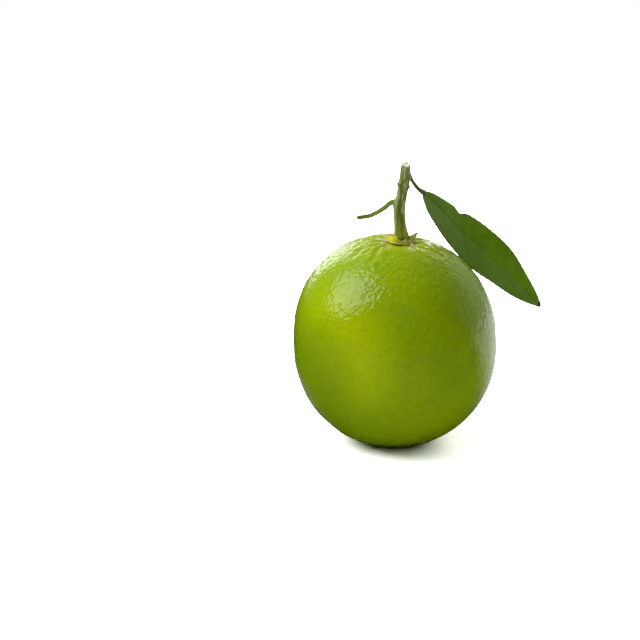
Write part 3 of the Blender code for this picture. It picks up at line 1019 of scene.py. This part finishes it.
def leaf_half_width(share, far_side):
    """Half width of the blade at this share of its length, with the bite in the far margin."""
    width = math.sin(math.pi * share**BASE_FULLNESS) ** OUTLINE_POWER if 0.0 < share < 1.0 else 0.0
    if far_side:
        filled = 1.0 / (1.0 + math.exp((FAR_FILLS_AT - share) / FAR_FILLS_OVER))
        width *= FAR_BASE + (FAR_TIP - FAR_BASE) * filled
        width *= 1.0 - NOTCH_DEPTH * math.exp(-(((share - NOTCH_AT) / NOTCH_LENGTH) ** 2))
    else:
        width *= 1.0 + NEAR_BASE * math.exp(-((share / NEAR_BASE_LENGTH) ** 2))
        width *= 1.0 + NEAR_SHOULDER * math.exp(-((share / NEAR_SHOULDER_LENGTH) ** 2))
    blunt = math.sqrt(max(1.0 - (max(share - TIP_FROM, 0.0) / (1.0 - TIP_FROM)) ** 2, 0.0))
    if share > 0.5:
        width = max(width, TIP_HALF_WIDTH / LEAF_HALF_WIDTH * blunt)
    scallop = SCALLOP_DEPTH * abs(math.sin(math.pi * SCALLOPS * share)) * min(width * 2.0, 1.0)
    return max(LEAF_HALF_WIDTH * width, LEAF_END_HALF_WIDTH) + scallop


def vein_relief(share, across):
    """How strongly a side vein lies here, 0 to 1. The veins slant towards the tip as they go out."""
    out = abs(across)
    place = (share - VEIN_SLANT * out**0.8) * (VEIN_PAIRS + 1) + (0.5 if across > 0.0 else 0.0)
    off = abs(place - round(place))
    return math.exp(-((off / 0.10) ** 2)) * min(out * 8.0, 1.0) * (1.0 - out**3)


def leaf_point(share, across, lower):
    """A point of the blade: share runs base to tip, across -1 (near margin) to 1 (far margin)."""
    middle = smooth_point(MIDRIB, share)
    along = (smooth_point(MIDRIB, share + 0.01) - smooth_point(MIDRIB, share - 0.01)).normalized()
    side = LEAF_FACING.cross(along).normalized()
    if side.z < 0.0:
        side = -side
    face = along.cross(side)
    if face.dot(LEAF_FACING) < 0.0:
        face = -face
    out = abs(across)
    reach = leaf_half_width(share, across > 0.0) * out
    groove = math.exp(-((reach / MIDRIB_WIDTH) ** 2)) * (1.0 - 0.6 * share)
    vein = vein_relief(share, across)
    body = LEAF_THICKNESS / 2.0 * math.sqrt(max(1.0 - out**8, 0.0))
    if lower:
        lift = -body - MIDRIB_GROOVE * 0.9 * groove - VEIN_DEPTH * 0.7 * vein
    else:
        lift = body - MIDRIB_GROOVE * 0.8 * groove - VEIN_DEPTH * vein
    ripple = LEAF_RIPPLE * math.sin(2.0 * math.pi * LEAF_RIPPLES * share + 1.1) * out**2
    sign = 1.0 if across > 0.0 else -1.0
    heel = LEAF_HEEL * (1.0 if across < 0.0 else 0.3) * out * math.exp(-((share / 0.07) ** 2))
    middle -= along * heel
    fold = side * sign * reach * math.cos(LEAF_FOLD) + face * reach * math.sin(LEAF_FOLD)
    return middle + fold + face * (lift + ripple)


def leaf_mesh():
    """Upper and lower faces of the blade, joined at the margin, the base and the tip."""
    mesh = bpy.data.meshes.new("lime_leaf")
    points, faces, spots = [], [], []
    wide = LEAF_COLUMNS + 1
    for lower in (False, True):
        for row in range(LEAF_ROWS + 1):
            share = 0.5 - 0.5 * math.cos(math.pi * row / LEAF_ROWS)
            share = 0.5 * share + 0.5 * row / LEAF_ROWS
            for column in range(wide):
                across = 2.0 * column / LEAF_COLUMNS - 1.0
                across = math.copysign(abs(across) ** 1.15, across)
                points.append(leaf_point(share, across, lower))
                spots.append((share, across))
    layer = wide * (LEAF_ROWS + 1)
    for row in range(LEAF_ROWS):
        for column in range(LEAF_COLUMNS):
            a = row * wide + column
            faces.append((a, a + 1, a + wide + 1, a + wide))
            faces.append((layer + a, layer + a + wide, layer + a + wide + 1, layer + a + 1))
    for row in range(LEAF_ROWS):
        a = row * wide
        b = a + LEAF_COLUMNS
        faces.append((a, a + wide, layer + a + wide, layer + a))
        faces.append((b, layer + b, layer + b + wide, b + wide))
    end = LEAF_ROWS * wide
    for column in range(LEAF_COLUMNS):
        faces.append((column, layer + column, layer + column + 1, column + 1))
        faces.append((end + column, end + column + 1, layer + end + column + 1, layer + end + column))
    mesh.from_pydata(points, [], faces)
    for label, values in (
        ("share", [spot[0] for spot in spots]),
        ("across", [spot[1] for spot in spots]),
        ("vein", [vein_relief(*spot) for spot in spots]),
        ("under", [0.0] * layer + [1.0] * layer),
    ):
        mesh.attributes.new(label, "FLOAT", "POINT").data.foreach_set("value", values)
    mesh.shade_smooth()
    return mesh


def leaf_material():
    """Deep green and satin above, paler and matt below, with veins and a dark tip and margin. The near half
    and the midrib groove carry painted shade, and the near half a painted grey sheen too.
    """
    made, tree, shader = new_material("Leaf blade")
    place = object_place(tree)
    share, across = read_attribute(tree, "share"), read_attribute(tree, "across")
    vein, under = read_attribute(tree, "vein"), read_attribute(tree, "under")
    feeds = {"First": (*LEAF_DEEP, 1), "Second": (*LEAF_GREEN, 1), "Patch": 0.006, "Grain": 0.4}
    ground = use_group(tree, mottle, {"Vector": place, **feeds})
    out = calc(tree, "ABSOLUTE", across)
    # Painted shade and a painted grey sheen on the near half of the blade, which the fold turns another
    # way.
    near_half = mix_colours(tree, fade(tree, across, -0.30, 0.08, 0.8, 0.0), ground["Color"], LEAF_SHADED)
    colour = mix_colours(tree, calc(tree, "MULTIPLY", vein, 0.12), near_half, LEAF_VEIN)
    # Painted shade along the midrib's groove, strongest towards the base.
    midrib_shade = fade(tree, share, 0.1, 0.8, 0.8, 0.2)
    midrib_shade = calc(tree, "MULTIPLY", fade(tree, out, 0.02, 0.08, 1.0, 0.0), midrib_shade)
    colour = mix_colours(tree, midrib_shade, colour, LEAF_DEEP)
    oil = use_group(tree, glands, {"Vector": place, "Spacing": LEAF_GLAND_SPACING, "Spot": 0.35})
    colour = mix_colours(tree, calc(tree, "MULTIPLY", oil["Mask"], 0.18), colour, LEAF_PALE)
    back = mix_colours(tree, calc(tree, "MULTIPLY", vein, 0.5), LEAF_BACK, LEAF_PALE)
    colour = mix_colours(tree, under, colour, back)
    edge = calc(tree, "MULTIPLY", fade(tree, out, 0.93, 1.0), 0.6)
    edge = calc(tree, "MAXIMUM", edge, fade(tree, share, 0.965, 0.99))
    colour = mix_colours(tree, edge, colour, LEAF_DRY)
    rough = calc(tree, "MULTIPLY_ADD", under, 0.25, 0.42)
    cloth = noise(tree, place, 1800.0, 3.0)
    normal = bump(tree, cloth, 0.00004, 0.6)
    feed_shader(tree, shader, Base_Color=colour, Roughness=rough, Normal=normal, Specular_IOR_Level=0.25)
    return made


leaf = bpy.data.objects.new("lime_leaf", leaf_mesh())
leaf.data.materials.append(leaf_material())
bpy.context.scene.collection.objects.link(leaf)
settle(leaf, "leaf")


# ---------------------------------------------------------------------------------------------
# Studio. A white table under a broad soft light from the upper left, in a room that is white
# behind the lime and dark on the viewer's side, so that the peel keeps its full green.
# ---------------------------------------------------------------------------------------------

TABLE_RADIUS = 6.0
TABLE_SIDES = 96
TABLE_SEEN = 2.35  # brighter than white for the lens, so that it has no edge or horizon
TABLE_BOUNCE = 0.80
TABLE_GLOSS = 0.68
TABLE_FADES = (0.30, 0.70)  # from here out the lamps no longer light it, and it is plain white
ROOM_LIGHT = 0.45
ROOM_NEAR = 0.02
ROOM_CEILING = 0.25
ROOM_BACK = 2.2  # two bright panels low behind the lime, left and right of the stem
ROOM_BACK_TURN = 0.04
ROOM_BACK_SLOPE = 0.35  # the left one stands taller
LAMP_AIM = Vector((0.0, 0.0, 0.030))
KEY_FROM = (-0.671, -0.115, 0.731)
LAMP_DISTANCE = 1.0
KEY_SIZE = 0.90
KEY_POWER = 5.9
KEY_SPREAD_POWER = 7.1
FRONT_FROM = (0.10, -0.70, 0.70)
FRONT_POWER = 2.4
REAR_FROM = (0.60, 0.72, 0.38)
REAR_POWER = 6.2
TOP_FROM = (-0.30, 0.40, 0.85)
TOP_POWER = 6.0
FILL_SIZE = 0.80
CAMERA_TILT = math.radians(16.0)
CAMERA_DISTANCE = 0.508
CAMERA_LENS = 100.0
CAMERA_SENSOR = 36.0
LIME_RIGHT_OF_MIDDLE = 0.0213
LIME_BELOW_MIDDLE = 0.0059
LIME_MIDDLE = Vector((0.0, 0.0, FRUIT_RISE))


def table_material():
    """A matt white table top. The fruit's gloss meets it darker than the lens and the peel do."""
    made = bpy.data.materials.new("Studio table")
    made.use_nodes = True
    tree = made.node_tree
    tree.nodes.remove(tree.nodes["Principled BSDF"])
    path = tree.nodes.new("ShaderNodeLightPath").outputs
    level = calc(tree, "MULTIPLY_ADD", path["Is Camera Ray"], TABLE_SEEN - TABLE_BOUNCE, TABLE_BOUNCE)
    at = add_node(tree, "ShaderNodeSeparateXYZ", {0: object_place(tree)}).outputs
    behind = fade(tree, at["Y"], -0.01, 0.05)
    right = fade(tree, at["X"], -0.06, 0.0)
    gloss = calc(tree, "MULTIPLY", calc(tree, "MULTIPLY", behind, right), TABLE_GLOSS)
    change = calc(tree, "SUBTRACT", gloss, TABLE_BOUNCE)
    level = calc(tree, "MULTIPLY_ADD", path["Is Glossy Ray"], change, level)
    colour = add_node(tree, "ShaderNodeCombineColor", {0: level, 1: level, 2: level}).outputs[0]
    matt = add_node(tree, "ShaderNodeBsdfDiffuse", {"Color": colour}).outputs[0]
    away = vector_calc(tree, "LENGTH", object_place(tree))
    away = calc(tree, "MULTIPLY", fade(tree, away, *TABLE_FADES), path["Is Camera Ray"])
    white = add_node(tree, "ShaderNodeEmission", {"Strength": 1.0}).outputs[0]
    seen = add_node(tree, "ShaderNodeMixShader", {0: away, 1: matt, 2: white}).outputs[0]
    tree.links.new(seen, tree.nodes["Material Output"].inputs["Surface"])
    return made


def add_table():
    """A round table top, wide enough to reach the horizon from any side."""
    mesh = bpy.data.meshes.new("studio_table")
    turns = [2.0 * math.pi * side / TABLE_SIDES for side in range(TABLE_SIDES)]
    ring = [(TABLE_RADIUS * math.cos(turn), TABLE_RADIUS * math.sin(turn), 0.0) for turn in turns]
    mesh.from_pydata(ring, [], [list(range(TABLE_SIDES))])
    mesh.materials.append(table_material())
    made = bpy.data.objects.new("studio_table", mesh)
    bpy.context.scene.collection.objects.link(made)


def add_room():
    """White for the lens. For the lime it is white on the far side only, and dimmer overhead."""
    world = bpy.data.worlds.new("Studio room")
    bpy.context.scene.world = world
    world.use_nodes = True
    tree = world.node_tree
    background = tree.nodes["Background"]
    way = tree.nodes.new("ShaderNodeTexCoord").outputs["Generated"]
    at = add_node(tree, "ShaderNodeSeparateXYZ", {0: way}).outputs
    far = fade(tree, at["Y"], -0.30, 0.35, ROOM_NEAR, 1.0)
    high = fade(tree, at["Z"], 0.25, 0.80, 1.0, ROOM_CEILING)
    left = fade(tree, at["X"], -0.85, -0.20, 0.03, 1.0)
    room = calc(tree, "MULTIPLY", calc(tree, "MULTIPLY", far, high), left)
    room = calc(tree, "MULTIPLY", room, ROOM_LIGHT)
    aside = calc(tree, "ABSOLUTE", calc(tree, "ADD", at["X"], ROOM_BACK_TURN))
    pair = calc(tree, "MULTIPLY", fade(tree, aside, 0.04, 0.20), fade(tree, aside, 0.30, 0.50, 1.0, 0.0))
    behind = calc(tree, "MULTIPLY", fade(tree, at["Y"], 0.35, 0.75), pair)
    sloped = calc(tree, "MULTIPLY_ADD", at["X"], ROOM_BACK_SLOPE, at["Z"])
    low = fade(tree, sloped, 0.20, 0.75, 1.0, 0.0)
    room = calc(tree, "MULTIPLY_ADD", calc(tree, "MULTIPLY", behind, low), ROOM_BACK, room)
    seen = tree.nodes.new("ShaderNodeLightPath").outputs["Is Camera Ray"]
    tree.links.new(calc(tree, "MAXIMUM", room, seen), background.inputs["Strength"])
    background.inputs["Color"].default_value = (1.0, 1.0, 1.0, 1.0)


def add_lamp(name, way, size, power, in_gloss):
    """A round soft light that faces the lime. Some light the peel without showing in its gloss."""
    data = bpy.data.lights.new(name, "AREA")
    data.shape = "DISK"
    data.size = size
    data.energy = power
    lamp = bpy.data.objects.new(name, data)
    lamp.location = LAMP_AIM + Vector(way).normalized() * LAMP_DISTANCE
    lamp.rotation_euler = Vector(way).to_track_quat("Z", "Y").to_euler()
    lamp.visible_glossy = in_gloss
    bpy.context.scene.collection.objects.link(lamp)


def add_camera():
    """A long lens in front, looking down a little, with the lime right of the middle."""
    data = bpy.data.cameras.new("Camera")
    data.lens = CAMERA_LENS
    data.sensor_width = CAMERA_SENSOR
    data.clip_start = 0.01
    camera = bpy.data.objects.new("Camera", data)
    back = Vector((0.0, -math.cos(CAMERA_TILT), math.sin(CAMERA_TILT)))
    up = Vector((0.0, math.sin(CAMERA_TILT), math.cos(CAMERA_TILT)))
    middle = LIME_MIDDLE - Vector((LIME_RIGHT_OF_MIDDLE, 0.0, 0.0)) + up * LIME_BELOW_MIDDLE
    camera.location = middle + back * CAMERA_DISTANCE
    camera.rotation_euler = back.to_track_quat("Z", "Y").to_euler()
    bpy.context.scene.collection.objects.link(camera)
    bpy.context.scene.camera = camera


add_table()
add_room()
add_lamp("Key", KEY_FROM, KEY_SIZE, KEY_POWER, True)
add_lamp("Key spread", KEY_FROM, KEY_SIZE, KEY_SPREAD_POWER, False)
add_lamp("Front", FRONT_FROM, FILL_SIZE, FRONT_POWER, False)
add_lamp("Rear", REAR_FROM, FILL_SIZE, REAR_POWER, False)
add_lamp("Top", TOP_FROM, FILL_SIZE, TOP_POWER, False)
add_camera()
bpy.context.scene.view_settings.view_transform = "Standard"
